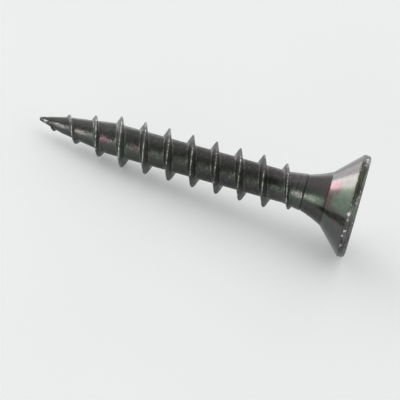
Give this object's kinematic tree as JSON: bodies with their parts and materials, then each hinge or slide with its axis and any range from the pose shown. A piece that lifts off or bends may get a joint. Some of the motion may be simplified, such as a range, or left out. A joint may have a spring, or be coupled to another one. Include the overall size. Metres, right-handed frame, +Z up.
{
  "type": "chipboard screw",
  "caption": "Black countersunk chipboard screw with a six-lobe recess, a coarse right-hand thread, a plain neck and a sharp point.",
  "frame": {"origin": "on the floor, under the middle of the bounding box of the screw as it lies", "axes": "+Z up; +X from the point towards the head, in the upright plane of the screw's axis, which rises 6.6 degrees towards the head"},
  "size_m": [0.0252, 0.0078, 0.0079],
  "materials": {
    "blackened_steel": "black passivated zinc plating, semi-gloss"
  },
  "bodies": {
    "root": {"chipboard_screw": "blackened_steel"}
  },
  "joints": []
}
